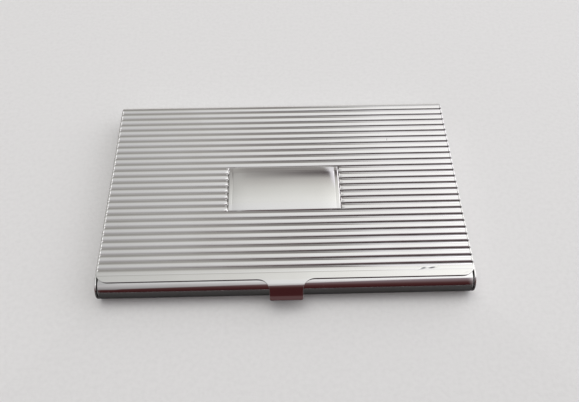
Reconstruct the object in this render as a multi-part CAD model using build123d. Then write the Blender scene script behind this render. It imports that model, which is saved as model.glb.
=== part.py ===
from build123d import *
import math
import os

os.makedirs("parts", exist_ok=True)

# Business card case of pressed and plated sheet, shut.
# +X right, +Y towards the hinge, +Z up.
# Origin: centre of the body's flat underside, the thumb tab left out.

# overall
case_width = 94.0           # of the lid
case_depth = 59.8           # front of the body to the back of the hinge roll
crest_z = 7.4               # tops of the ribs, and the plain band at the front
sheet = 0.4                 # thickness of the lid and the body
running_gap = 0.1           # between lid and body, all round
half_width = case_width / 2
front_y = -case_depth / 2
back_y = case_depth / 2

# hinge
roll_radius = 3.65          # outside of the lid's roll
roll_inside = roll_radius - sheet
hinge_y = back_y - roll_radius
hinge_z = crest_z - roll_radius
rib_roll_start = 75.0       # degrees: where the first rib runs into the roll
wide_roll_end = 13.0        # degrees: the full-width part of the roll stops here
roll_end = -115.0           # degrees: the narrow part wraps under the body's back edge
roll_half_width = 45.0      # half width of the narrow part of the roll

# ribs across the lid
rib_pitch = 2.0
rib_rise = 0.38
valley_count = 26
first_valley_y = 26.13
valley_z = crest_z - rib_rise
plain_margin = 0.5          # unribbed strip along each side edge
last_valley_y = first_valley_y - (valley_count - 1) * rib_pitch

# name plate in the middle of the lid: a raised pillow, left blank
plate_width = 30.0
plate_ribs = 7
plate_back_valley = 10
plate_rise = 0.4            # above the ribs' tops
plate_edge_drop = 0.28      # its front and back edges, below the ribs' tops

# front edge of the lid, and its thumb tab
lid_front_y = front_y + 2.3
corner_radius = 3.0
tab_width = 8.5
tab_root_radius = 2.9
tab_tip_radius = 0.6
tab_flat = 1.27
tab_slope = 50.0            # degrees below level
tab_slope_length = 3.21
tab_flare_slope = 38.0
tab_flare_length = 1.19
tab_bend_radius = 2.5

# body
lip_gap = running_gap
nose_radius = (crest_z - sheet - lip_gap) / 2
nose_y = front_y + nose_radius
nose_curl = 60.0            # degrees above level where the curled front edge ends, inside
shell_half_width = 46.35
shell_back_y = hinge_y - 1.75

# end plates, a little outside the lid's side edges
end_plate_sheet = 0.5
end_plate_outer_x = half_width + 0.25
end_plate_inner_x = end_plate_outer_x - end_plate_sheet
end_plate_back_radius = roll_inside - running_gap
foot_inner_x = 44.8
foot_front_y = -25.0
foot_back_y = 19.0

# hinge cams, brazed inside the roll's ends
cam_inner_x = roll_half_width
cam_outer_x = 46.35
cam_flat = 2.6              # distance of each flat from the axis
cam_flat_angles = [180.0, -65.0]
cam_relief = 2.55           # flat that clears the first rib
cam_relief_angle = 95.0

# hinge rivets
pin_radius = 0.9
pin_clearance = 0.05
rivet_head_radius = 1.5
rivet_head = 0.2
shoulder_radius = 1.3
tail = 0.4

# snap spring
spring_sheet = 0.25
spring_front_y = 20.0
finger_inner_x = 45.1
finger_outer_x = 46.1
finger_top_z = 5.4
finger_lean = 0.3
finger_bend_radius = 0.6
spring_rivet_xs = [-30.0, 0.0, 30.0]
spring_rivet_y = 21.6
spring_rivet_radius = 0.6
spring_rivet_head_radius = 1.1
spring_rivet_head = 0.35


def on_circle(centre_y, centre_z, radius, degrees):
    """A point in the YZ plane."""
    turn = math.radians(degrees)
    return (centre_y + radius * math.cos(turn), centre_z + radius * math.sin(turn))


def along_x(face, x_low, x_high):
    """A face drawn as (Y, Z), made solid from one X to another."""
    return Pos(x_low, 0, 0) * extrude(Plane.YZ * face, amount=x_high - x_low)


def other_end(shape):
    return mirror(shape, about=Plane.YZ)


def rolled_sheet(radius, start, end):
    """Section of the hinge roll between two angles, from its outer radius."""
    middle = radius - sheet / 2
    return trace(CenterArc((hinge_y, hinge_z), middle, start, end - start), sheet)


def ribbed_sheet():
    """Section through the ribbed top, from the lid's front edge to the roll."""
    valleys = [first_valley_y - n * rib_pitch for n in range(valley_count)]
    half = rib_pitch / 2
    arc_radius = (half ** 2 + rib_rise ** 2) / (2 * rib_rise)
    quarter_z = crest_z - arc_radius + math.sqrt(arc_radius ** 2 - (half / 2) ** 2)
    front_crest = last_valley_y - half

    def surface(drop):
        edges = [
            Line((lid_front_y, crest_z - drop), (front_crest, crest_z - drop)),
            ThreePointArc(
                (front_crest, crest_z - drop),
                (front_crest + half / 2, quarter_z - drop),
                (last_valley_y, valley_z - drop),
            ),
        ]
        for y in reversed(valleys[1:]):
            edges.append(
                ThreePointArc(
                    (y, valley_z - drop),
                    (y + half, crest_z - drop),
                    (y + rib_pitch, valley_z - drop),
                )
            )
        roll_y, roll_z = on_circle(hinge_y, hinge_z, roll_radius - drop, rib_roll_start)
        edges.append(
            ThreePointArc(
                (first_valley_y, valley_z - drop),
                ((first_valley_y + roll_y) / 2, (valley_z + crest_z) / 2 - drop),
                (roll_y, roll_z),
            )
        )
        return edges

    ends = [
        Line((lid_front_y, crest_z), (lid_front_y, crest_z - sheet)),
        Line(
            on_circle(hinge_y, hinge_z, roll_radius, rib_roll_start),
            on_circle(hinge_y, hinge_z, roll_inside, rib_roll_start),
        ),
    ]
    return make_face(surface(0) + surface(sheet) + ends)


def plain_sheet():
    """Section through the plain strips at the lid's sides."""
    length = hinge_y - lid_front_y
    return Pos(lid_front_y + length / 2, crest_z - sheet / 2) * Rectangle(length, sheet)


def name_plate():
    """Arched plate that takes the ribs' place in the middle."""
    back = first_valley_y - plate_back_valley * rib_pitch
    front = back - plate_ribs * rib_pitch
    edge_z = crest_z - plate_edge_drop
    top_z = crest_z + plate_rise
    middle = (front + back) / 2
    section = make_face(
        [
            ThreePointArc((front, edge_z), (middle, top_z), (back, edge_z)),
            Line((back, edge_z), (back, edge_z - sheet)),
            ThreePointArc(
                (front, edge_z - sheet), (middle, top_z - sheet), (back, edge_z - sheet)
            ),
            Line((front, edge_z), (front, edge_z - sheet)),
        ]
    )
    plate = along_x(section, -plate_width / 2, plate_width / 2)
    window = Pos(0, middle, crest_z) * Box(plate_width, back - front, 4 * sheet)
    return plate, window


def tab_section():
    """Section of the thumb tab, from the lid's front edge down to its tip."""
    z = crest_z - sheet / 2
    slope = math.radians(tab_slope)
    flare = math.radians(tab_flare_slope)
    bend = (lid_front_y - tab_flat, z)
    flare_start = (
        bend[0] - tab_slope_length * math.cos(slope),
        bend[1] - tab_slope_length * math.sin(slope),
    )
    tip = (
        flare_start[0] - tab_flare_length * math.cos(flare),
        flare_start[1] - tab_flare_length * math.sin(flare),
    )
    start = (lid_front_y, z)
    path = FilletPolyline(start, bend, flare_start, tip, radius=tab_bend_radius)
    return trace(path, sheet), tip[0]


def lid_outline(tab_end_y):
    """Outline of the lid and tab from above."""
    back = back_y + 1
    lid = Pos(0, (lid_front_y + back) / 2) * Rectangle(case_width, back - lid_front_y)
    reach = lid_front_y - tab_end_y + sheet
    tab = Pos(0, lid_front_y - reach / 2) * Rectangle(tab_width, reach)
    outline = lid + tab
    corners = outline.vertices().filter_by_position(Axis.Y, lid_front_y - 0.1, lid_front_y + 0.1)
    roots = corners.filter_by_position(Axis.X, -tab_width, tab_width)
    outline = fillet(roots, tab_root_radius)
    corners = outline.vertices().filter_by_position(Axis.Y, lid_front_y - 0.1, lid_front_y + 0.1)
    outer = [v for v in corners if abs(abs(v.X) - half_width) < 0.01]
    outline = fillet(outer, corner_radius)
    tips = outline.vertices().sort_by(Axis.Y)[:2]
    return fillet(tips, tab_tip_radius)


def lid_cover():
    ribbed_half = half_width - plain_margin
    tab, tab_end_y = tab_section()
    cover = along_x(ribbed_sheet(), -ribbed_half, ribbed_half)
    for low in (-half_width, ribbed_half):
        cover += along_x(plain_sheet(), low, low + plain_margin)
    plate, window = name_plate()
    cover = cover - window + plate
    ribbed_roll = rolled_sheet(roll_radius, rib_roll_start, wide_roll_end)
    cover += along_x(ribbed_roll, -ribbed_half, ribbed_half)
    for low in (-half_width, ribbed_half):
        plain_roll = rolled_sheet(roll_radius, 90, wide_roll_end)
        cover += along_x(plain_roll, low, low + plain_margin)
    narrow = rolled_sheet(roll_radius, wide_roll_end, roll_end)
    cover += along_x(narrow, -roll_half_width, roll_half_width)
    cover += along_x(tab, -tab_width, tab_width)
    outline = extrude(lid_outline(tab_end_y), amount=2 * crest_z)
    return cover & Pos(0, 0, -crest_z / 2) * outline


def base_shell():
    """Bottom and curled front edge, bent from one sheet."""
    middle = nose_radius - sheet / 2
    floor = Line((shell_back_y, sheet / 2), (nose_y, sheet / 2))
    curl = CenterArc((nose_y, nose_radius), middle, 270, nose_curl - 270)
    shell = along_x(trace(floor, sheet) + trace(curl, sheet), -shell_half_width, shell_half_width)
    for x in spring_rivet_xs:
        shell -= Pos(x, spring_rivet_y, 0) * Cylinder(spring_rivet_radius, 4 * sheet)
    return shell


def end_plate():
    """Right-hand end plate with the foot that holds it to the bottom."""
    front = Pos(nose_y, nose_radius) * Circle(nose_radius)
    back = Pos(hinge_y, hinge_z) * Circle(end_plate_back_radius)
    side = make_hull(front.edges() + back.edges())
    side -= Pos(hinge_y, hinge_z) * Circle(pin_radius)
    plate = along_x(side, end_plate_inner_x, end_plate_outer_x)
    seat = Pos(hinge_y, hinge_z) * Circle(rivet_head_radius)
    plate -= along_x(seat, end_plate_outer_x - rivet_head, end_plate_outer_x)
    length = foot_back_y - foot_front_y
    width = end_plate_inner_x - foot_inner_x
    foot = Box(width, length, sheet)
    foot_y = (foot_front_y + foot_back_y) / 2
    return plate + Pos(foot_inner_x + width / 2, foot_y, 1.5 * sheet) * foot


def hinge_cam():
    """Right-hand cam: a thick disc with a flat for each resting place of the lid."""
    profile = Pos(hinge_y, hinge_z) * Circle(roll_inside)
    profile -= Pos(hinge_y, hinge_z) * Circle(pin_radius + pin_clearance)
    flats = [(angle, cam_flat) for angle in cam_flat_angles] + [(cam_relief_angle, cam_relief)]
    for angle, distance in flats:
        y, z = on_circle(hinge_y, hinge_z, distance + roll_radius / 2, angle)
        profile -= Pos(y, z) * Rot(0, 0, angle) * Rectangle(roll_radius, 2 * roll_radius)
    return along_x(profile, cam_inner_x, cam_outer_x)


def hinge_rivet():
    """Right-hand rivet: flush head, shoulder, pin and formed tail."""
    head_x = end_plate_outer_x - rivet_head
    shoulder_x = cam_outer_x + pin_clearance
    tail_x = cam_inner_x - running_gap
    sections = [
        (rivet_head_radius, head_x, end_plate_outer_x),
        (pin_radius, end_plate_inner_x, head_x),
        (shoulder_radius, shoulder_x, end_plate_inner_x),
        (pin_radius, tail_x, shoulder_x),
        (shoulder_radius, tail_x - tail, tail_x),
    ]
    rivet = Part()
    for radius, low, high in sections:
        rivet += along_x(Pos(hinge_y, hinge_z) * Circle(radius), low, high)
    return rivet


def snap_spring():
    """Leaf strip on the bottom, with an upturned finger behind each cam."""
    finger_y = hinge_y - cam_flat - running_gap - spring_sheet / 2
    floor_z = sheet + spring_sheet / 2
    strip_length = finger_y - spring_front_y
    strip = Pos(0, (spring_front_y + finger_y - 1) / 2, floor_z)
    strip *= Box(2 * finger_outer_x, strip_length - 1, spring_sheet)
    path = FilletPolyline(
        (spring_front_y, floor_z),
        (finger_y, floor_z),
        (finger_y, finger_top_z - 1),
        (finger_y - finger_lean, finger_top_z),
        radius=finger_bend_radius,
    )
    finger = along_x(trace(path, spring_sheet), finger_inner_x, finger_outer_x)
    spring = strip + finger + other_end(finger)
    for x in spring_rivet_xs:
        spring -= Pos(x, spring_rivet_y, sheet) * Cylinder(spring_rivet_radius, 4 * sheet)
    return spring


def spring_rivets():
    """Three rivets, flush underneath, with low round heads on the strip."""
    rivets = []
    under_head = sheet + spring_sheet
    for x in spring_rivet_xs:
        shank = Pos(x, spring_rivet_y, under_head / 2)
        shank *= Cylinder(spring_rivet_radius, under_head)
        head = Pos(x, spring_rivet_y, under_head + spring_rivet_head / 2)
        head *= Cylinder(spring_rivet_head_radius, spring_rivet_head)
        rivet = shank + head
        top = rivet.edges().sort_by(Axis.Z)[-1]
        rivets.append(fillet(top, spring_rivet_head * 0.8))
    return Compound(children=rivets)


right_plate = end_plate()
right_cam = hinge_cam()
right_rivet = hinge_rivet()
nodes = {
    "lid_cover": lid_cover(),
    "base_shell": base_shell(),
    "end_plate_right": right_plate,
    "end_plate_left": other_end(right_plate),
    "hinge_cam_right": right_cam,
    "hinge_cam_left": other_end(right_cam),
    "hinge_rivet_right": right_rivet,
    "hinge_rivet_left": other_end(right_rivet),
    "snap_spring": snap_spring(),
    "spring_rivets": spring_rivets(),
}
for name, shape in nodes.items():
    export_step(shape, f"parts/{name}.step")
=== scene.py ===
import math

import bpy
import bmesh
import numpy as np
from mathutils import Euler, Matrix, Vector


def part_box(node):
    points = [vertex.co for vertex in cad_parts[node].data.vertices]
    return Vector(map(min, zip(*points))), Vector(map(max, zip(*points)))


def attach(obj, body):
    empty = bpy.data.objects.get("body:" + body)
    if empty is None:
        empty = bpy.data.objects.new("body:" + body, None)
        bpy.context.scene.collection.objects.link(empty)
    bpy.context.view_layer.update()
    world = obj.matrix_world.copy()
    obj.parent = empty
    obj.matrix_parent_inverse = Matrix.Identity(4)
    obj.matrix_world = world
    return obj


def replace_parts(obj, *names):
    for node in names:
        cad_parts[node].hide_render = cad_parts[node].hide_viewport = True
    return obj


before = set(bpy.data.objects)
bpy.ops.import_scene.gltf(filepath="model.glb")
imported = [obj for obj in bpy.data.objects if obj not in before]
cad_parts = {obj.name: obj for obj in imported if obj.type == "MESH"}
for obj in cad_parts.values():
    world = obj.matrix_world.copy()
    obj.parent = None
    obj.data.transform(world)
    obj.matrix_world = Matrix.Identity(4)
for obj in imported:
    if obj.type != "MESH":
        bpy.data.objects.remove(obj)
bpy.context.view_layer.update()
mm = 0.001
print("frame loaded:", ", ".join(sorted(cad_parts)))


# nodes written as expressions
class Wire:
    def __init__(self, graph, socket):
        self.graph = graph
        self.socket = socket

    def math(self, operation, *others):
        values = dict(enumerate((self,) + others))
        return self.graph.add("ShaderNodeMath", {"operation": operation}, values)

    def __add__(self, other):
        return self.math("ADD", other)

    def __sub__(self, other):
        return self.math("SUBTRACT", other)

    def __mul__(self, other):
        return self.math("MULTIPLY", other)

    def __truediv__(self, other):
        return self.math("DIVIDE", other)

    def __rsub__(self, other):
        return self.graph.value(other, "SUBTRACT", self)

    def __rtruediv__(self, other):
        return self.graph.value(other, "DIVIDE", self)

    def __neg__(self):
        return self * -1

    __radd__ = __add__
    __rmul__ = __mul__

    def least(self, other):
        return self.math("MINIMUM", other)

    def most(self, other):
        return self.math("MAXIMUM", other)

    def between(self, low, high):
        return self.most(low).least(high)

    def root(self):
        return self.math("SQRT")

    def size(self):
        return self.math("ABSOLUTE")

    def above(self, limit):
        return self.math("GREATER_THAN", limit)

    def fade(self, low, high):
        # 0 at low, 1 at high, smooth between
        return self.graph.add(
            "ShaderNodeMapRange",
            {"interpolation_type": "SMOOTHSTEP"},
            {"Value": self, "From Min": low, "From Max": high},
        )

    def choose(self, yes, no):
        return self * yes + (1 - self) * no


class Graph:
    def __init__(self, tree):
        self.tree = tree
        tree.nodes.clear()

    def add(self, kind, settings=None, inputs=None, output=0):
        node = self.tree.nodes.new(kind)
        for name, value in (settings or {}).items():
            if name == "stops":
                self.stops(node.color_ramp, value)
            else:
                setattr(node, name, value)
        for name, value in (inputs or {}).items():
            named = [s for s in node.inputs if s.identifier == name]
            socket = named[0] if named else node.inputs[name]
            if isinstance(value, Wire):
                self.tree.links.new(value.socket, socket)
            else:
                socket.default_value = value
        return Wire(self, node.outputs[output]) if len(node.outputs) else node

    def stops(self, ramp, stops):
        while len(ramp.elements) < len(stops):
            ramp.elements.new(0.5)
        for element, (position, colour) in zip(ramp.elements, stops):
            element.position = position
            element.color = (*colour, 1)

    def value(self, number, operation, wire):
        return self.add("ShaderNodeMath", {"operation": operation}, {0: number, 1: wire})

    def axes(self, vector):
        first = self.add("ShaderNodeSeparateXYZ", inputs={0: vector})
        return [Wire(self, socket) for socket in first.socket.node.outputs]

    def noise(self, place, scale, detail=2.0, distortion=0.0):
        return self.add(
            "ShaderNodeTexNoise", None,
            {"Vector": place, "Scale": scale, "Detail": detail, "Distortion": distortion},
        )

    def turned(self, place, degrees, scale):
        turn = tuple(math.radians(d) for d in degrees)
        inputs = {"Vector": place, "Rotation": turn, "Scale": scale}
        return self.add("ShaderNodeMapping", None, inputs)

    def bump(self, height, strength=1.0, distance=mm):
        inputs = {"Strength": strength, "Distance": distance, "Height": height}
        return self.add("ShaderNodeBump", None, inputs)

    def blended(self, factor, first, second):
        colours = {"Factor_Float": factor, "A_Color": first, "B_Color": second}
        return self.add("ShaderNodeMix", {"data_type": "RGBA"}, colours, 2)


# finishes
def newMaterial(name):
    material = bpy.data.materials.new(name)
    material.use_nodes = True
    return material, Graph(material.node_tree)


def finishMaterial(graph, colour, roughness, normal=None, metallic=1.0):
    inputs = {"Base Color": colour, "Roughness": roughness, "Metallic": metallic}
    if normal is not None:
        inputs["Normal"] = normal
    shader = graph.add("ShaderNodeBsdfPrincipled", None, inputs)
    graph.add("ShaderNodeOutputMaterial", None, {"Surface": shader})


plateFinish = {                  # lengths and depths in millimetres
    "tint": (0.905, 0.895, 0.880),
    "cloudTint": (0.870, 0.855, 0.835),
    # the next colour is painted shade, laid into the lid's rib valleys, crease and groove,
    # stronger towards +x
    "valleyShadeTint": (0.155, 0.135, 0.14),
    "cutEdgeAndGapShadow": (0.09, 0.085, 0.085),
    "markTint": (0.08, 0.08, 0.10),
    "cloudScale": 55.0,
    "hazeScale": 420.0,
    "hairlines": [               # turn, grain along and across, where a line starts and is full
        (7, 90, 5200, 0.70, 0.80),
        (-38, 150, 6800, 0.72, 0.82),
        (61, 210, 7600, 0.73, 0.83),
    ],
    "scratchDepth": 0.0022,
    "waveDepth": 0.004,
    "roughness": 0.045,
    "cloudRoughness": 0.035,     # what each of these adds to the roughness
    "hazeRoughness": 0.02,
    "scratchRoughness": 0.08,
    "valleyShadeRoughness": 0.10,
    "edgeRoughness": 0.25,
    "markRoughness": 0.2,
    "valleyShadeAcross": (-45.0, 28.0),    # x from where the painted shade is weakest to where it is strongest
    "valleyShadeStart": (0.86, -0.26),     # on the weak side, and what the strong side adds
    "valleyShadeFull": (0.99, -0.14),
    "valleyShadeShare": (0.2, 0.8),
    "valleyShadeHaze": (0.72, 0.4),
    "valleyShadeCover": 0.95,
    "wallHeight": (7.36, 7.26),      # z, y and distance from the rim of the dark cut edge, partly painted shadow of the gap below it
    "wallPlace": (-28.4, -27.9),
    "wallReach": (0.1, 0.04),
    "wallCover": 0.97,
    "darkFrom": 0.02,                # marks at least this deep are dark too
    "markSpread": (0.25, 0.9),
    "markCover": 0.85,
}
lidMarks = {
    # centre x, y, half length, half width, turn in degrees, depth, all in millimetres
    "dent": (36.3, -25.38, 1.05, 0.25, 9.0, 0.055),
    "shortDent": (34.15, -25.42, 0.85, 0.19, 14.0, 0.035),
    "dentTail": (34.3, -25.62, 1.9, 0.06, 12.0, 0.02),
    "dentRim": (35.2, -25.05, 1.4, 0.2, 8.0, -0.02),
    "dentLip": (33.3, -25.2, 0.5, 0.3, -20.0, -0.012),
    "nick": (29.6, 14.75, 0.42, 0.08, 88.0, 0.024),
    "frontSpot": (44.6, -26.7, 0.5, 0.14, 6.0, 0.012),
}


def platedMetal(name, seed, marks=None, ribbed=False):
    look = plateFinish
    material, graph = newMaterial(name)
    place = graph.add("ShaderNodeTexCoord", output="Object")
    x, y, z = (axis / mm for axis in graph.axes(place))
    offset = (seed * 0.13, seed * 0.07, 0)     # no two pieces show the same pattern
    shifted = graph.add("ShaderNodeMapping", None, {"Vector": place, "Location": offset})
    cloud = graph.noise(shifted, look["cloudScale"], 3.0, 0.4)
    haze = graph.noise(shifted, look["hazeScale"], 2.0)
    hairlines = []
    for turn, along, across, low, high in look["hairlines"]:
        grain = graph.turned(shifted, (0, 0, turn), (along, across, across))
        hairlines.append(graph.noise(grain, 1.0, 1.0).fade(low, high))
    scratches = sum(hairlines[1:], hairlines[0]).least(1.0) * haze.fade(0.35, 0.65)
    colour = graph.blended(cloud.fade(0.38, 0.72), (*look["tint"], 1), (*look["cloudTint"], 1))
    roughness = look["roughness"] + look["cloudRoughness"] * cloud.fade(0.45, 0.75)
    roughness = roughness + look["hazeRoughness"] * haze + look["scratchRoughness"] * scratches
    height = -(scratches * look["scratchDepth"]) + cloud * look["waveDepth"]
    if ribbed:
        depth = graph.add("ShaderNodeAttribute", {"attribute_name": "valleyDepth"}, None, "Fac")
        rim = graph.add("ShaderNodeAttribute", {"attribute_name": "edgeDistance"}, None, "Fac")
        # painted shade: valleys, rib back flanks, crease and groove darken and roughen, more
        # towards +x
        wearAndShade = x.fade(*look["valleyShadeAcross"])
        low, high, share = (
            look[key][0] + look[key][1] * wearAndShade for key in ("valleyShadeStart", "valleyShadeFull", "valleyShadeShare")
        )
        steadyShade, hazyShade = look["valleyShadeHaze"]
        valleyShade = depth.fade(low, high) * (steadyShade + hazyShade * haze).least(1.0) * share
        wall = z.fade(*look["wallHeight"]) * y.fade(*look["wallPlace"])
        wall = wall * (rim / mm).fade(*look["wallReach"]) * look["wallCover"]
        colour = graph.blended(valleyShade * look["valleyShadeCover"], colour, (*look["valleyShadeTint"], 1))
        # the lid's front edge wall: its own darker cut edge plus painted shadow of the gap beneath
        colour = graph.blended(wall, colour, (*look["cutEdgeAndGapShadow"], 1))
        roughness = roughness + look["valleyShadeRoughness"] * valleyShade + look["edgeRoughness"] * wall
    for cx, cy, long, wide, turn, deep in (marks or {}).values():
        c, s = math.cos(math.radians(turn)), math.sin(math.radians(turn))
        along = ((x - cx) * c + (y - cy) * s) / long
        across = ((y - cy) * c - (x - cx) * s) / wide
        mark = (-(along * along + across * across)).math("EXPONENT")
        height = height - mark * deep
        if deep >= look["darkFrom"]:
            dark = mark.fade(*look["markSpread"]) * look["markCover"]
            colour = graph.blended(dark, colour, (*look["markTint"], 1))
            roughness = roughness + look["markRoughness"] * mark
    finishMaterial(graph, colour, roughness, graph.bump(height))
    return material


steelFinishes = {                # grain: how fine it is along x, y and z
    "camSteel": {
        "tint": (0.56, 0.55, 0.53),
        "wearAndShade": (0.36, 0.34, 0.32),
        "roughness": 0.30,
        "grain": (500, 500, 9000),
    },
    "rivetSteel": {
        "tint": (0.66, 0.65, 0.63),
        "wearAndShade": (0.45, 0.43, 0.41),
        "roughness": 0.22,
        "grain": (3000, 3000, 3000),
    },
    "springSteel": {
        "tint": (0.50, 0.48, 0.44),
        "wearAndShade": (0.27, 0.25, 0.26),
        "roughness": 0.26,
        "grain": (250, 7000, 7000),
    },
}
grainDepth = 0.003               # millimetres


def bareSteel(name):
    values = steelFinishes[name]
    material, graph = newMaterial(name)
    place = graph.add("ShaderNodeTexCoord", output="Object")
    grain = graph.noise(graph.turned(place, (0, 0, 0), values["grain"]), 1.0, 2.0)
    patches = graph.noise(place, 900.0, 3.0, 0.6)
    colour = graph.blended(patches.fade(0.4, 0.75), (*values["tint"], 1), (*values["wearAndShade"], 1))
    roughness = values["roughness"] + 0.14 * patches.fade(0.35, 0.7) + 0.08 * grain
    finishMaterial(graph, colour, roughness, graph.bump(grain * grainDepth))
    return material


lidPlate = platedMetal("lidSilverPlate", 1, lidMarks, ribbed=True)
bodyPlate = platedMetal("bodySilverPlate", 4)
endPlateFinish = platedMetal("endSilverPlate", 7)
camSteel = bareSteel("camSteel")
rivetSteel = bareSteel("rivetSteel")
springSteel = bareSteel("springSteel")
print("finishes made")


# helpers for meshes
def newObject(name, mesh, material=None):
    piece = bpy.data.objects.new(name, mesh)
    bpy.context.scene.collection.objects.link(piece)
    if material:
        mesh.materials.clear()
        mesh.materials.append(material)
    return piece


def settle(piece):
    # the evaluated shape becomes a plain mesh and the modifiers go
    graph = bpy.context.evaluated_depsgraph_get()
    mesh = bpy.data.meshes.new_from_object(
        piece.evaluated_get(graph), preserve_all_data_layers=True, depsgraph=graph
    )
    piece.modifiers.clear()
    old, piece.data = piece.data, mesh
    mesh.name = piece.name
    bpy.data.meshes.remove(old)
    return piece


def softShade(piece, degrees=35.0):
    work = bmesh.new()
    work.from_mesh(piece.data)
    for face in work.faces:
        face.smooth = True
    for edge in work.edges:
        edge.smooth = edge.calc_face_angle(0.0) < math.radians(degrees)
    work.to_mesh(piece.data)
    work.free()
    return piece


def gridMesh(name, points):
    # points: rows of columns of (x, y, z) in metres, faces to the outside
    rows, columns = len(points), len(points[0])
    verts = [p for row in points for p in row]
    faces = []
    for r in range(rows - 1):
        for c in range(columns - 1):
            a = r * columns + c
            faces.append((a, a + 1, a + columns + 1, a + columns))
    mesh = bpy.data.meshes.new(name)
    mesh.from_pydata(verts, [], faces)
    mesh.validate()
    return mesh


def spread(marks, step):
    # the marks in order, with even steps between them no longer than step
    values = []
    for low, high in zip(marks, marks[1:]):
        count = max(1, math.ceil((high - low) / step - 1e-6))
        values += [low + (high - low) * n / count for n in range(count)]
    return values + [marks[-1]]


# lid: one blank, formed by a geometry node tree
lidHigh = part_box("lid_cover")[1]
lid = {                          # millimetres and degrees
    "halfWidth": lidHigh.x / mm,
    "sheet": 0.4,
    "ribTop": 7.4,
    "rollRadius": 3.65,
    "frontSetback": 2.3,         # lid's front edge behind the body's front
    "ribPitch": 2.0,
    "ribRise": 0.38,
    "valleyCount": 26,
    "firstValley": 26.13,
    "rollBlend": 1.076,          # the first half rib's run into the roll
    "sideMargin": 0.28,          # plain strip that clears the end plates
    "ribRunOut": 0.09,
    "backFlankGrime": 0.42,      # how much further the painted shade reaches up a rib's back
    "creaseShift": 0.15,         # the bend in front of the last rib, behind its edge
    "creaseDepth": 0.022,
    "creaseSharpness": 9.0,      # rib pitches to half of the crease's width
    # painted shade in the crease and the fine groove, as shares of a full valley's darkness
    "creaseGrime": 0.67,
    "grooveGrime": 0.68,
    "plateHalfWidth": 15.0,
    "plateBackValley": 10,
    "plateRibs": 7,
    "plateEdgeRun": 0.3,
    "plateFrame": -0.16,         # the frame's outer edge, from the ribs' tops
    "plateSideSlope": 0.01,
    "plateEndSlope": 0.28,
    "plateStep": 1.15,           # width of the frame at the sides
    "plateEndRatio": 0.64,       # frame widths at the sides to those at the ends
    "plateGroove": 0.016,        # depth of the fine line inside the frame
    "grooveWidth": 0.19,
    "besideWidth": 0.34,         # the plain valley beside the plate
    "plateDome": 0.26,
    "plateDomeRun": 3.3,
    "plateSideFall": 0.42,       # how far the dome falls to the sides, against its ends
    "edgeRounding": 0.11,
    "cornerRadius": 3.0,
    "narrowHalfWidth": 45.0,
    "wideRollEnd": 13.0,
    "rollEnd": -115.0,
    "tabHalfWidth": 4.2,
    "tabRootRadius": 2.9,
    "tabTipRadius": 0.6,
    "tabFlat": 0.1,
    "tabBendRadius": 2.7,
    "tabSlope": 50.0,
    "tabSlopeLength": 1.95,
    "flareBendRadius": 0.6,
    "flareSlope": 38.0,
    "flareLength": 1.116,
}
hingeY = lidHigh.y / mm - lid["rollRadius"]
hingeZ = lid["ribTop"] - lid["rollRadius"]
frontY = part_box("base_shell")[0].y / mm + lid["frontSetback"]


def rollPlace(degrees):
    return hingeY + math.radians(90 - degrees) * lid["rollRadius"]


def tabReach():
    bends = math.radians(lid["tabSlope"]) * lid["tabBendRadius"]
    bends += math.radians(lid["tabSlope"] - lid["flareSlope"]) * lid["flareBendRadius"]
    return lid["tabFlat"] + bends + lid["tabSlopeLength"] + lid["flareLength"]


def lidHalfOutline():
    # half of the flat blank's outline, from the tab's tip round to the roll's end
    tipY = frontY - tabReach()
    half, tab = lid["halfWidth"], lid["tabHalfWidth"]
    points = [(0, tipY)]

    def arc(cx, cy, radius, start, end):
        for n in range(13):
            t = math.radians(start + (end - start) * n / 12)
            points.append((cx + radius * math.cos(t), cy + radius * math.sin(t)))

    tip, root, corner = lid["tabTipRadius"], lid["tabRootRadius"], lid["cornerRadius"]
    arc(tab - tip, tipY + tip, tip, -90, 0)
    arc(tab + root, frontY - root, root, 180, 90)
    arc(half - corner, frontY + corner, corner, -90, 0)
    points.append((half, rollPlace(lid["wideRollEnd"])))
    points.append((lid["narrowHalfWidth"], rollPlace(lid["wideRollEnd"])))
    points.append((lid["narrowHalfWidth"], rollPlace(lid["rollEnd"])))
    points.append((0, rollPlace(lid["rollEnd"])))
    return points


def distanceToLine(places, line):
    line = np.array(line)
    best = np.full(len(places), 1e9)
    for a, b in zip(line, line[1:]):
        ab = b - a
        length2 = float(ab @ ab)
        if length2 < 1e-12:
            continue
        t = np.clip(((places - a) @ ab) / length2, 0, 1)
        gap = places - (a + t[:, None] * ab)
        best = np.minimum(best, np.hypot(gap[:, 0], gap[:, 1]))
    return best


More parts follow.
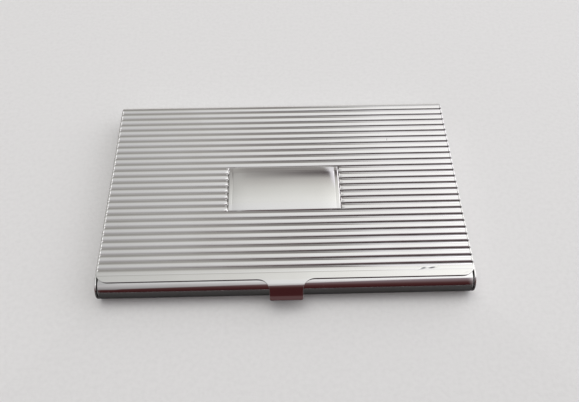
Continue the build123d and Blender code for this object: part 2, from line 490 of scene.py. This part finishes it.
def lidBlank():
    root, tab, half = lid["tabRootRadius"], lid["tabHalfWidth"], lid["halfWidth"]
    rootX = tab + root
    plate, narrow = lid["plateHalfWidth"], lid["narrowHalfWidth"]
    # the grid is fine where the sheet bends and wide where it is flat
    rim = [0.25, 0.16, 0.1, 0.05, 0.02]
    columns = spread([0, rootX - 0.6], 1.3) + [rootX - d for d in rim] + [rootX]
    columns += spread([rootX + 0.5, plate - 2.6], 1.3)
    columns += spread([plate - 2.2, plate - 1.4], 0.4)[:-1]
    columns += spread([plate - 1.4, plate - 0.9], 0.07)
    columns += spread([plate - 0.62, plate + 0.3], 0.075)
    columns += spread([plate + 1.2, narrow - 1.5], 3.2)
    columns += [narrow - 0.4] + [narrow - d for d in rim[1:]] + [narrow]
    columns += spread([narrow + 0.5, half - 0.4], 0.5)
    columns += [half - lid["sideMargin"] - d for d in (0.09, 0.06, 0.03, 0.0)]
    columns += [half - d for d in rim] + [half]
    columns = [-c for c in reversed(columns[1:])] + columns

    pitch, first, count = lid["ribPitch"], lid["firstValley"], lid["valleyCount"]
    last = first - (count - 1) * pitch
    steps = [0, 0.02, 0.1, 0.22, 0.36, 0.5, 0.64, 0.78, 0.9, 0.98]
    tip = frontY - tabReach()
    bend = frontY - lid["tabFlat"]
    bent = bend - math.radians(lid["tabSlope"]) * lid["tabBendRadius"]
    flare = bent - lid["tabSlopeLength"]
    rows = [tip + d for d in (0, 0.02, 0.05, 0.1, 0.16, 0.3, 0.45, 0.6, 0.85)]
    rows += spread([flare - 0.126, flare], 0.045) + spread([flare + 0.5, bent], 0.6)[:-1]
    rows += spread([bent, bend], 0.14)[:-1] + [bend, bend + 0.05, frontY]
    rows += [frontY + d for d in (0.02, 0.05, 0.1, 0.16, 0.25)]
    crease = last - pitch + lid["creaseShift"]
    rows += spread([frontY + 0.5, crease - 0.3], 0.3)
    rows += [crease + d for d in (-0.2, -0.1, -0.04, 0, 0.04, 0.1, 0.2, 0.3)]
    rows += spread([crease + 0.45, last - 0.5 * pitch], 0.3)
    rows += [last + (s - 1) * pitch for s in steps if s > 0.5]
    for n in range(count - 1):
        rows += [last + n * pitch + s * pitch for s in steps]
    rollStart = first + lid["rollBlend"]
    rows += [first + lid["rollBlend"] * s for s in (0, 0.05, 0.2, 0.4, 0.6, 0.8, 0.93)]
    wideEnd, end = rollPlace(lid["wideRollEnd"]), rollPlace(lid["rollEnd"])
    rows += spread([rollStart, wideEnd - 0.25], 0.3) + [wideEnd - d for d in rim[1:]] + [wideEnd]
    rows += spread([wideEnd + 0.3, end - 0.25], 0.4) + [end - d for d in rim[1:]] + [end]

    corner = lid["cornerRadius"]
    squeeze = half - corner - 1.0

    def across(x, y):
        side = math.copysign(1.0, x)
        width = abs(x)
        if y < frontY - 1e-9:
            fit = tab
            if y > frontY - root:
                fit = rootX - math.sqrt(root ** 2 - (y - frontY + root) ** 2)
            if y < tip + lid["tabTipRadius"]:
                r = lid["tabTipRadius"]
                fit = tab - r + math.sqrt(max(0.0, r ** 2 - (r - y + tip) ** 2))
            return side * width * fit / rootX
        if y < frontY + corner and width > squeeze:
            fit = half - corner + math.sqrt(corner ** 2 - (corner - y + frontY) ** 2)
            return side * (squeeze + (width - squeeze) * (fit - squeeze) / (half - squeeze))
        return x

    verts, faces, index = [], [], {}
    sides = {}                   # directed edges, kept in order

    def vert(r, c):
        if (r, c) not in index:
            index[r, c] = len(verts)
            verts.append((across(columns[c], rows[r]) * mm, rows[r] * mm, 0))
        return index[r, c]

    for r in range(len(rows) - 1):
        middle = (rows[r] + rows[r + 1]) / 2
        limit = rootX if middle < frontY else narrow if middle > wideEnd else half
        for c in range(len(columns) - 1):
            if abs(columns[c]) <= limit + 1e-6 and abs(columns[c + 1]) <= limit + 1e-6:
                face = (vert(r, c), vert(r, c + 1), vert(r + 1, c + 1), vert(r + 1, c))
                faces.append(face)
                for a, b in zip(face, face[1:] + face[:1]):
                    sides[a, b] = True
    # the underside, and walls between the two all round
    count = len(verts)
    verts += [(x, y, -lid["sheet"] * mm) for x, y, _ in verts]
    faces += [tuple(count + v for v in reversed(face)) for face in faces]
    faces += [(b, a, count + a, count + b) for a, b in sides if (b, a) not in sides]
    mesh = bpy.data.meshes.new("lidBlank")
    mesh.from_pydata(verts, [], faces)
    places = np.array(verts)[:, :2] / mm
    places[:, 0] = np.abs(places[:, 0])
    gap = distanceToLine(places, lidHalfOutline())
    edge = mesh.attributes.new("edgeDistance", "FLOAT", "POINT")
    edge.data.foreach_set("value", (gap * mm).astype(np.float32))
    return mesh


# the tree's inputs that come straight from the dictionary, by their unit
lidInputs = [
    (mm, [
        "Rib Pitch", "Rib Rise", "First Valley", "Roll Blend", "Rib Run Out", "Crease Depth",
        "Plate Half Width", "Plate Edge Run", "Plate Frame", "Plate Step", "Plate Groove",
        "Groove Width", "Beside Width", "Plate Dome", "Plate Dome Run", "Edge Rounding",
        "Roll Radius", "Tab Flat", "Tab Bend Radius", "Tab Slope Length", "Flare Bend Radius",
    ]),
    (math.radians(1), ["Tab Slope", "Flare Slope"]),
    (1.0, [
        "Valley Count", "Crease Sharpness", "Plate Side Slope", "Plate End Slope",
        "Plate Side Fall", "Plate End Ratio", "Back Flank Grime", "Crease Grime", "Groove Grime",
    ]),
]
# and those that are worked out
lidPlaces = [
    "Rib End", "Crease Shift", "Plate Back", "Plate Front", "Hinge Y", "Hinge Z", "Front Y",
]


def formingTree():
    tree = bpy.data.node_groups.new("formRibbedLid", "GeometryNodeTree")
    graph = Graph(tree)

    def socket(name, kind, side="INPUT"):
        tree.interface.new_socket(name=name, in_out=side, socket_type="NodeSocket" + kind)

    socket("Blank", "Geometry")
    for names in [names for unit, names in lidInputs] + [lidPlaces]:
        for name in names:
            socket(name, "Float")
    socket("Finish", "Material")
    socket("Lid", "Geometry", "OUTPUT")
    given = tree.nodes.new("NodeGroupInput")
    get = {output.name: Wire(graph, output) for output in given.outputs if output.name}

    x, v, layer = graph.axes(graph.add("GeometryNodeInputPosition"))
    edge = graph.add(
        "GeometryNodeInputNamedAttribute", {"data_type": "FLOAT"}, {"Name": "edgeDistance"}
    )
    half = get["Rib Pitch"] * 0.5
    rise = get["Rib Rise"]
    arc = (half * half + rise * rise) / (rise * 2)

    # ribs: circular arcs that meet in valleys
    place = (get["First Valley"] - v) / get["Rib Pitch"]
    fromCrest = (place.math("FRACT") - 0.5) * get["Rib Pitch"]
    rollOff = (get["First Valley"] + get["Roll Blend"] - v) / get["Roll Blend"]
    rollOff = rollOff.between(0, 1) * half
    ahead = place.above(get["Valley Count"] - 0.5)
    behind = 1 - place.above(0.0)
    fromCrest = behind.choose(rollOff, (1 - ahead) * fromCrest)
    fullRibs = (arc * arc - fromCrest * fromCrest).root() - arc
    side = (get["Rib End"] - x.size()) / get["Rib Run Out"]
    ribs = fullRibs * side.fade(0.0, 1.0)
    crease = (place - get["Valley Count"] + get["Crease Shift"]).size() * get["Crease Sharpness"]
    crease = 1 - crease.fade(0.0, 1.0)
    ribs = ribs - get["Crease Depth"] * crease

    # name plate: the valley round it, a frame, a fine groove and a low dome
    middle = (get["Plate Back"] + get["Plate Front"]) * 0.5
    reach = (get["Plate Back"] - get["Plate Front"]) * 0.5
    toSide = get["Plate Half Width"] - x.size()
    toEnd = reach - (v - middle).size()
    ends = toEnd * get["Plate End Ratio"]
    inward = toSide.least(ends)
    climb = (inward / get["Plate Edge Run"]).between(0, 1)
    frameHeight = (1 - (1 - climb) * (1 - climb)) * (rise + get["Plate Frame"]) - rise
    sideRamp = toSide.least(get["Plate Step"]) * get["Plate Side Slope"]
    endRamp = ends.least(get["Plate Step"]) * get["Plate End Slope"]
    sideTop = get["Plate Step"] * get["Plate Side Slope"]
    endTop = get["Plate Step"] * get["Plate End Slope"]
    frameHeight = frameHeight + (sideRamp + endTop - sideTop).least(endRamp)
    fromStep = (inward - get["Plate Step"]) / get["Groove Width"]
    groove = 1 - fromStep.size().fade(0.0, 1.0)
    stepHeight = -get["Plate Groove"] * groove
    inX = ((toSide - get["Plate Step"]) / get["Plate Dome Run"]).between(0, 1)
    inY = ((ends - get["Plate Step"]) / get["Plate Dome Run"]).between(0, 1)
    sideFall, endFall = 1 - inX, 1 - inY
    fall = sideFall * sideFall * get["Plate Side Fall"] + endFall * endFall
    dome = (1 - fall) * get["Plate Dome"]
    plate = frameHeight + stepHeight + dome
    onPlate = inward.above(0.0)
    beside = (x.size() - get["Plate Half Width"]) / get["Beside Width"]
    besideFade = (1 - beside.fade(0.0, 1.0)) * toEnd.above(0.0)
    ribs = besideFade.choose(-rise, ribs)
    height = onPlate.choose(plate, ribs)

    # how deep each point lies, which the finish reads for its painted shade; back flanks, crease
    # and groove get extra
    depth = (-onPlate.choose(plate, fullRibs) / rise).between(0, 1)
    depth = depth.most(besideFade * (1 - onPlate))
    # painted shade: the ribs' back flanks, the crease and the groove count as deeper than they are
    backFlank = (1 - place.math("FRACT").above(0.5)) * (1 - onPlate)
    depth = depth + backFlank * get["Back Flank Grime"]
    depth = depth.most(crease * get["Crease Grime"]).most(groove * get["Groove Grime"])

    # the outer face's edges are rounded; the tiny limit tells it from the underside
    rounding = get["Edge Rounding"]
    short = rounding - edge.least(rounding)
    rounded = rounding - (rounding * rounding - short * short).most(0.0).root()
    height = height + layer - rounded * layer.above(-0.01 * mm)

    # roll at the back, tab at the front
    turn = (v - get["Hinge Y"]).most(0.0) / get["Roll Radius"]
    out = get["Roll Radius"] + height
    flat = v.most(get["Front Y"]).least(get["Hinge Y"])
    q = (get["Front Y"] - v).most(0.0)
    slope = get["Tab Slope"]
    kink = slope - get["Flare Slope"]
    run = q.least(get["Tab Flat"])
    q = (q - get["Tab Flat"]).most(0.0)
    bendRun = slope * get["Tab Bend Radius"]
    bend = q.least(bendRun) / get["Tab Bend Radius"]
    q = (q - bendRun).most(0.0)
    sloped = q.least(get["Tab Slope Length"])
    q = (q - get["Tab Slope Length"]).most(0.0)
    kinkRun = kink * get["Flare Bend Radius"]
    unbend = q.least(kinkRun) / get["Flare Bend Radius"]
    flared = (q - kinkRun).most(0.0)
    sine, cosine = slope.math("SINE"), slope.math("COSINE")
    forward = run + get["Tab Bend Radius"] * bend.math("SINE") + sloped * cosine
    forward = forward + get["Flare Bend Radius"] * (sine - (slope - unbend).math("SINE"))
    forward = forward + flared * get["Flare Slope"].math("COSINE")
    drop = get["Tab Bend Radius"] * (1 - bend.math("COSINE")) + sloped * sine
    drop = drop + get["Flare Bend Radius"] * ((slope - unbend).math("COSINE") - cosine)
    drop = drop + flared * get["Flare Slope"].math("SINE")
    lean = bend - unbend
    newY = flat + out * turn.math("SINE") - forward - height * lean.math("SINE")
    newZ = get["Hinge Z"] + out * turn.math("COSINE") - drop
    newZ = newZ - height * (1 - lean.math("COSINE"))

    formed = graph.add("ShaderNodeCombineXYZ", None, {"X": x, "Y": newY, "Z": newZ})
    stored = graph.add(
        "GeometryNodeStoreNamedAttribute", {"data_type": "FLOAT", "domain": "POINT"},
        {"Geometry": get["Blank"], "Name": "valleyDepth", "Value": depth},
    )
    moved = graph.add("GeometryNodeSetPosition", None, {"Geometry": stored, "Position": formed})
    real = graph.add("GeometryNodeRealizeInstances", None, {"Geometry": moved})
    done = graph.add(
        "GeometryNodeSetMaterial", None, {"Geometry": real, "Material": get["Finish"]}
    )
    result = tree.nodes.new("NodeGroupOutput")
    tree.links.new(done.socket, result.inputs["Lid"])
    return tree


def makeLid():
    tree = formingTree()
    piece = newObject("lid_skin", lidBlank())
    plateBack = lid["firstValley"] - lid["plateBackValley"] * lid["ribPitch"]
    values = {
        "Rib End": (lid["halfWidth"] - lid["sideMargin"]) * mm,
        "Crease Shift": lid["creaseShift"] / lid["ribPitch"],
        "Plate Back": plateBack * mm,
        "Plate Front": (plateBack - lid["plateRibs"] * lid["ribPitch"]) * mm,
        "Hinge Y": hingeY * mm,
        "Hinge Z": hingeZ * mm,
        "Front Y": frontY * mm,
        "Finish": lidPlate,
    }
    for unit, names in lidInputs:
        for name in names:
            key = name[0].lower() + name[1:].replace(" ", "")
            values[name] = lid[key] * unit
    forming = piece.modifiers.new("form", "NODES")
    forming.node_group = tree
    for item in tree.interface.items_tree:
        if item.in_out == "INPUT" and item.name in values:
            forming[item.identifier] = values[item.name]
    settle(piece)
    softShade(piece, 38.0)
    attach(piece, "lid")
    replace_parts(piece, "lid_cover")
    print("lid formed:", len(piece.data.polygons), "faces")
    return piece


makeLid()


# body: bottom and curled front
shellLow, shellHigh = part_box("base_shell")
shell = {                       # millimetres and degrees
    "sheet": 0.4,
    "noseRadius": shellHigh.z / mm / 2,
    "curlEnd": 60.0,
    "seamGap": 0.24,            # extra room under the lid's front edge
    "sideExtra": 0.15,          # brings the ends close to the end plates
    "edgeRounding": 0.12,
}


def makeShell():
    radius = shell["noseRadius"]
    noseY = shellLow.y / mm + radius
    half, back = shellHigh.x / mm + shell["sideExtra"], shellHigh.y / mm
    rise = radius - shell["seamGap"] / 2
    section = [(y, 0.0) for y in reversed(spread([noseY, back], 3.0))]
    turns = spread([shell["curlEnd"], 270], 3.5)
    for degrees in reversed(turns[:-1]):
        t = math.radians(degrees)
        section.append((noseY + radius * math.cos(t), rise + rise * math.sin(t)))
    xs = spread([-half, half], 6.0)
    points = [[(x * mm, y * mm, z * mm) for x in xs] for y, z in section]
    piece = newObject("body_shell", gridMesh("body_shell", points), bodyPlate)
    wall = piece.modifiers.new("thickness", "SOLIDIFY")
    wall.thickness = shell["sheet"] * mm
    wall.offset = -1.0
    edges = piece.modifiers.new("edges", "BEVEL")
    edges.width = shell["edgeRounding"] * mm
    edges.segments = 3
    edges.limit_method = "ANGLE"
    edges.angle_limit = math.radians(50)
    settle(piece)
    softShade(piece)
    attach(piece, "case_body")
    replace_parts(piece, "base_shell")
    return piece


makeShell()
print("body shell made")


# end plates
endPlate = {                    # millimetres
    "sheet": 0.5,
    "noseRadius": shell["noseRadius"],
    "hingeRadius": 3.15,
    "seatRadius": 1.54,
    "edgeRounding": 0.14,
    "footFront": -25.0,
    "footBack": 19.0,
    "footInner": 44.8,
    "footSheet": 0.4,
    "footRounding": 0.1,
}


def circleLine(centreY, centreZ, radius, start, end, count):
    turns = [math.radians(start + (end - start) * n / count) for n in range(count + 1)]
    return [(centreY + radius * math.cos(t), centreZ + radius * math.sin(t)) for t in turns]


def makeEndPlate(name, side):
    noseY = shellLow.y / mm + endPlate["noseRadius"]
    noseZ = endPlate["noseRadius"]
    reach = math.hypot(hingeY - noseY, hingeZ - noseZ)
    lift = math.degrees(math.atan2(hingeZ - noseZ, hingeY - noseY))
    lean = math.degrees(math.asin((endPlate["noseRadius"] - endPlate["hingeRadius"]) / reach))
    top, bottom = lift + 90 - lean, lift - 90 + lean
    outline = circleLine(noseY, noseZ, endPlate["noseRadius"], top, bottom + 360, 40)
    outline += circleLine(hingeY, hingeZ, endPlate["hingeRadius"], bottom, top, 36)
    seat = circleLine(hingeY, hingeZ, endPlate["seatRadius"], 0, 360, 32)[:-1]
    curve = bpy.data.curves.new(name, "CURVE")
    curve.dimensions = "2D"
    curve.fill_mode = "BOTH"
    for line in (outline, seat):
        spline = curve.splines.new("POLY")
        spline.points.add(len(line) - 1)
        for point, (y, z) in zip(spline.points, line):
            point.co = (y * mm, z * mm, 0, 1)
        spline.use_cyclic_u = True
    rounding = endPlate["edgeRounding"]
    curve.extrude = (endPlate["sheet"] / 2 - rounding) * mm
    curve.bevel_depth = rounding * mm
    curve.bevel_resolution = 2
    curve.offset = -rounding * mm
    holder = bpy.data.objects.new(name + "Curve", curve)
    mesh = bpy.data.meshes.new_from_object(holder)
    bpy.data.objects.remove(holder)
    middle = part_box("end_plate_right")[1].x / mm - endPlate["sheet"] / 2
    # curve's flat x, y become Y, Z
    place = Matrix(((0, 0, 1, side * middle * mm), (1, 0, 0, 0), (0, 1, 0, 0), (0, 0, 0, 1)))
    mesh.transform(place)
    work = bmesh.new()
    work.from_mesh(mesh)
    inner = side * (middle - endPlate["sheet"] / 2)
    width = abs(inner) - endPlate["footInner"]
    length = endPlate["footBack"] - endPlate["footFront"]
    # the foot lies on the body's bottom sheet
    thick = endPlate["footSheet"]
    centre = Vector((
        side * (endPlate["footInner"] + width / 2),
        (endPlate["footBack"] + endPlate["footFront"]) / 2,
        1.5 * thick,
    ))
    foot = bmesh.ops.create_cube(work, size=1.0)["verts"]
    bmesh.ops.scale(work, vec=(width * mm, length * mm, thick * mm), verts=foot)
    bmesh.ops.translate(work, vec=centre * mm, verts=foot)
    bmesh.ops.bevel(
        work, geom=list({e for v in foot for e in v.link_edges}),
        offset=endPlate["footRounding"] * mm, segments=2, affect="EDGES", profile=0.5,
    )
    bmesh.ops.remove_doubles(work, verts=work.verts, dist=0.002 * mm)
    bmesh.ops.recalc_face_normals(work, faces=work.faces)
    work.to_mesh(mesh)
    work.free()
    piece = newObject(name, mesh, endPlateFinish)
    softShade(piece)
    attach(piece, "case_body")
    return piece


for name, node, side in (
    ("endPlateRight", "end_plate_right", 1),
    ("endPlateLeft", "end_plate_left", -1),
):
    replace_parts(makeEndPlate(name, side), node)
print("end plates made")


# hinge rivets
rivet = {                       # millimetres: distance along X from the middle, radius
    "profile": [
        (47.25, 0.0), (47.245, 0.55), (47.225, 1.0), (47.19, 1.32), (47.12, 1.46), (47.05, 1.5),
        (46.75, 0.9), (46.75, 1.22), (46.70, 1.3), (46.43, 1.3), (46.40, 1.22), (46.40, 0.9),
        (44.90, 0.9), (44.90, 1.22), (44.85, 1.3), (44.62, 1.26), (44.52, 1.05), (44.50, 0.0),
    ],
    "sides": 40,
}


def makeRivet(name, side):
    sides = rivet["sides"]
    work = bmesh.new()
    rings = []
    for along, radius in rivet["profile"]:
        if radius == 0:
            rings.append([work.verts.new((side * along * mm, hingeY * mm, hingeZ * mm))])
            continue
        ring = []
        for n in range(sides):
            t = 2 * math.pi * n / sides
            y, z = hingeY + radius * math.cos(t), hingeZ + radius * math.sin(t)
            ring.append(work.verts.new((side * along * mm, y * mm, z * mm)))
        rings.append(ring)
    for first, second in zip(rings, rings[1:]):
        for n in range(sides):
            m = (n + 1) % sides
            corners = [first[n % len(first)], first[m % len(first)]]
            corners += [second[m % len(second)], second[n % len(second)]]
            work.faces.new(list(dict.fromkeys(corners)))     # a ring of one point gives triangles
    bmesh.ops.recalc_face_normals(work, faces=work.faces)
    mesh = bpy.data.meshes.new(name)
    work.to_mesh(mesh)
    work.free()
    piece = softShade(newObject(name, mesh, rivetSteel), 30.0)
    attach(piece, "case_body")
    return piece


for name, node, side in (
    ("hingeRivetRight", "hinge_rivet_right", 1),
    ("hingeRivetLeft", "hinge_rivet_left", -1),
):
    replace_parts(makeRivet(name, side), node)
print("rivets made")


# the remaining CAD nodes get their finishes
for node, material in (
    ("hinge_cam_right", camSteel),
    ("hinge_cam_left", camSteel),
    ("snap_spring", springSteel),
    ("spring_rivets", rivetSteel),
):
    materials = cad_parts[node].data.materials
    materials.clear()
    materials.append(material)
print("cams and spring finished")


# floor, light and camera
floorLook = {
    "halfSize": 2500.0,             # millimetres
    "tint": (0.80, 0.795, 0.785),
    "fleck": (0.765, 0.76, 0.75),
    "fleckScale": 900.0,
    "roughness": 0.75,
    "bumpStrength": 0.3,
    "bumpDepth": 0.2,
}


def flecked(graph, look, detail):
    place = graph.add("ShaderNodeTexCoord", output="Object")
    fleck = graph.noise(place, look["fleckScale"], detail)
    tint, spot = (*look["tint"], 1), (*look["fleck"], 1)
    return fleck, graph.blended(fleck.fade(0.3, 0.8), tint, spot)


def layFlat(name, corners, height, material):
    mesh = bpy.data.meshes.new(name)
    verts = [(x * mm, y * mm, height * mm) for x, y in corners]
    mesh.from_pydata(verts, [], [(0, 1, 2, 3)])
    return newObject(name, mesh, material)


def makeFloor():
    size = floorLook["halfSize"]
    material, graph = newMaterial("paleFloor")
    fleck, colour = flecked(graph, floorLook, 4.0)
    normal = graph.bump(fleck, floorLook["bumpStrength"], floorLook["bumpDepth"] * mm)
    finishMaterial(graph, colour, floorLook["roughness"], normal, metallic=0.0)
    corners = [(-size, -size), (size, -size), (size, size), (-size, size)]
    layFlat("floor", corners, 0, material)


makeFloor()

frontCard = {                   # millimetres: a dark card flat in front, seen in reflections only
    "backHalfWidth": 48.0,
    "frontHalfWidth": 620.0,
    "back": -28.7,
    "front": -700.0,
    "lift": 0.03,
    "tint": (0.045, 0.043, 0.043),
    "fleck": (0.030, 0.029, 0.029),
    "fleckScale": 700.0,
    "roughness": 0.9,
}


def makeFrontCard():
    near, far = frontCard["backHalfWidth"], frontCard["frontHalfWidth"]
    back, front = frontCard["back"], frontCard["front"]
    material, graph = newMaterial("darkCard")
    colour = flecked(graph, frontCard, 3.0)[1]
    finishMaterial(graph, colour, frontCard["roughness"], metallic=0.0)
    corners = [(-far, front), (far, front), (near, back), (-near, back)]
    card = layFlat("frontCard", corners, frontCard["lift"], material)
    card.visible_camera = False
    card.visible_diffuse = False
    card.visible_shadow = False


makeFrontCard()
print("floor and card laid")

studio = {                      # angles go over the object from the back, in degrees
    "leftSky": [                # angle, then colour
        (0, (0.39, 0.38, 0.37)),
        (17, (0.40, 0.39, 0.38)),
        (30, (0.46, 0.45, 0.43)),
        (41, (0.40, 0.39, 0.38)),
        (49, (0.53, 0.525, 0.51)),
        (59, (0.65, 0.65, 0.63)),
        (67, (0.775, 0.78, 0.765)),
        (78, (0.79, 0.795, 0.80)),
        (108, (0.78, 0.785, 0.80)),
        (118, (0.62, 0.61, 0.62)),
        (128, (0.52, 0.51, 0.52)),
        (138, (0.42, 0.41, 0.42)),
        (148, (0.34, 0.33, 0.34)),
        (180, (0.34, 0.33, 0.33)),
    ],
    "middleSky": [
        (0, (0.29, 0.275, 0.27)),
        (20, (0.26, 0.245, 0.24)),
        (34, (0.25, 0.235, 0.23)),
        (42, (0.37, 0.36, 0.35)),
        (48, (0.41, 0.40, 0.39)),
        (53, (0.50, 0.49, 0.475)),
        (59, (0.66, 0.66, 0.64)),
    ],
    "rightSky": [
        (0, (0.30, 0.30, 0.30)),
        (12, (0.44, 0.44, 0.44)),
        (27, (0.60, 0.60, 0.61)),
        (40, (0.71, 0.70, 0.74)),
        (52, (0.74, 0.73, 0.78)),
        (60, (0.66, 0.66, 0.64)),
    ],
    "band": (0.10, 0.088, 0.09),
    "darkSide": [
        (0, (0.45, 0.43, 0.45)),
        (112, (0.45, 0.43, 0.45)),
        (120, (0.25, 0.20, 0.22)),
        (129, (0.185, 0.135, 0.15)),
        (138, (0.145, 0.095, 0.10)),
        (146, (0.092, 0.045, 0.046)),
        (155, (0.062, 0.023, 0.023)),
        (168, (0.048, 0.013, 0.014)),
        (180, (0.034, 0.012, 0.013)),
    ],
    "skyTop": (56.0, 60.0),         # where the three skies of the back end
    "middleSide": (-0.18, 0.0),     # sideways, from the left sky to the middle one
    "rightLean": 0.0034,            # how the right sky's border leans, for each degree
    "borderBlur": 0.03,
    "bandAngles": (35.0, 41.0, 45.5, 52.0),
    "bandSide": (-0.12, 0.11),
    "rightGain": 2.9,
    "gainAngles": (108.0, 118.0),
    "gainLow": 0.18,                # the furthest left the gain reaches, and what the back adds
    "gainLowBack": 0.42,
    "gainHigh": 0.34,
    "shadeCorner": 141.0,           # where the dark side's border crosses the middle
    "shadeLean": 0.0157,
    "shadeShift": 0.16,
    "shadeBlur": 0.06,
    "shadeAngles": (111.0, 117.0),
    "shadeFull": (146.0, 158.0),
    "shadeSides": (0.48, 0.62),
    "backdrop": (0.74, 0.735, 0.73),    # what the camera sees
}


def makeWorld():
    world = bpy.data.worlds.new("studio")
    bpy.context.scene.world = world
    world.use_nodes = True
    graph = Graph(world.node_tree)
    x, y, z = graph.axes(graph.add("ShaderNodeTexCoord", output="Generated"))
    degrees = z.math("ARCTAN2", y) * (180 / math.pi)
    turn = (degrees / 180).between(0, 1)

    def ramp(name):
        stops = [(angle / 180, colour) for angle, colour in studio[name]]
        return graph.add("ShaderNodeValToRGB", {"stops": stops}, {"Fac": turn})

    def solid(name):
        return (*studio[name], 1)

    low = 1 - degrees.fade(*studio["skyTop"])
    bright, dark = ramp("leftSky"), ramp("darkSide")
    bright = graph.blended(x.fade(*studio["middleSide"]) * low, bright, ramp("middleSky"))
    bandStart, bandFull, bandFades, bandEnd = studio["bandAngles"]
    band = degrees.fade(bandStart, bandFull) * (1 - degrees.fade(bandFades, bandEnd))
    bright = graph.blended(band * x.fade(*studio["bandSide"]), bright, solid("band"))
    blur = studio["borderBlur"]
    right = (x - degrees * studio["rightLean"]).fade(-blur, blur)
    bright = graph.blended(right * low, bright, ramp("rightSky"))
    behind = (degrees.fade(*studio["gainAngles"]) - 1) * studio["gainLowBack"]
    gainPlace = x.most(behind - studio["gainLow"]).least(studio["gainHigh"])
    gain = graph.value(studio["rightGain"], "POWER", gainPlace)
    bright = graph.add("ShaderNodeVectorMath", {"operation": "SCALE"}, {0: bright, "Scale": gain})
    border = (studio["shadeCorner"] - degrees) * studio["shadeLean"] - studio["shadeShift"]
    blur = studio["shadeBlur"]
    shade = (x - border).fade(-blur, blur) * degrees.fade(*studio["shadeAngles"])
    shade = shade.most(degrees.fade(*studio["shadeFull"]))
    shade = shade * (1 - x.size().fade(*studio["shadeSides"]))
    colour = graph.blended(shade, bright, dark)
    seen = graph.add("ShaderNodeLightPath", output="Is Camera Ray")
    colour = graph.blended(seen, colour, solid("backdrop"))
    background = graph.add("ShaderNodeBackground", None, {"Color": colour, "Strength": 1.0})
    graph.add("ShaderNodeOutputWorld", None, {"Surface": background})


lights = {                      # metres and watts
    "overhead": {
        "place": (-0.15, 0.25, 0.9),
        "size": (0.7, 0.7),
        "power": 2.6,
        "tint": (1.0, 0.99, 0.98),
        "inReflections": False,
    },
    "sideSoftbox": {
        "place": (0.525, 0.303, 0.35),
        "size": (0.75, 0.42),
        "power": 0.75,
        "tint": (0.95, 0.94, 1.0),
        "inReflections": True,
    },
}


def areaLight(name):
    values = lights[name]
    light = bpy.data.lights.new(name, "AREA")
    light.shape = "RECTANGLE"
    light.size, light.size_y = values["size"]
    light.energy = values["power"]
    light.color = values["tint"]
    holder = bpy.data.objects.new(name, light)
    bpy.context.scene.collection.objects.link(holder)
    # it points at the middle of the floor
    holder.location = values["place"]
    holder.rotation_euler = (-Vector(values["place"])).to_track_quat("-Z", "Y").to_euler()
    holder.visible_glossy = values["inReflections"]


makeWorld()
for name in lights:
    areaLight(name)

view = {
    "place": (-1.02, -84.19, 136.64),     # millimetres
    "angles": (31.4366, -0.2002, -1.4083),
    "lens": 35.369,
    "sensorWidth": 36.0,
    "nearest": 5.0,
}


def makeCamera():
    data = bpy.data.cameras.new("camera")
    data.lens = view["lens"]
    data.sensor_width = view["sensorWidth"]
    data.clip_start = view["nearest"] * mm
    camera = bpy.data.objects.new("camera", data)
    camera.location = Vector(view["place"]) * mm
    camera.rotation_euler = Euler([math.radians(a) for a in view["angles"]])
    bpy.context.scene.collection.objects.link(camera)
    bpy.context.scene.camera = camera


makeCamera()
bpy.context.scene.view_settings.view_transform = "Standard"
print("studio set")
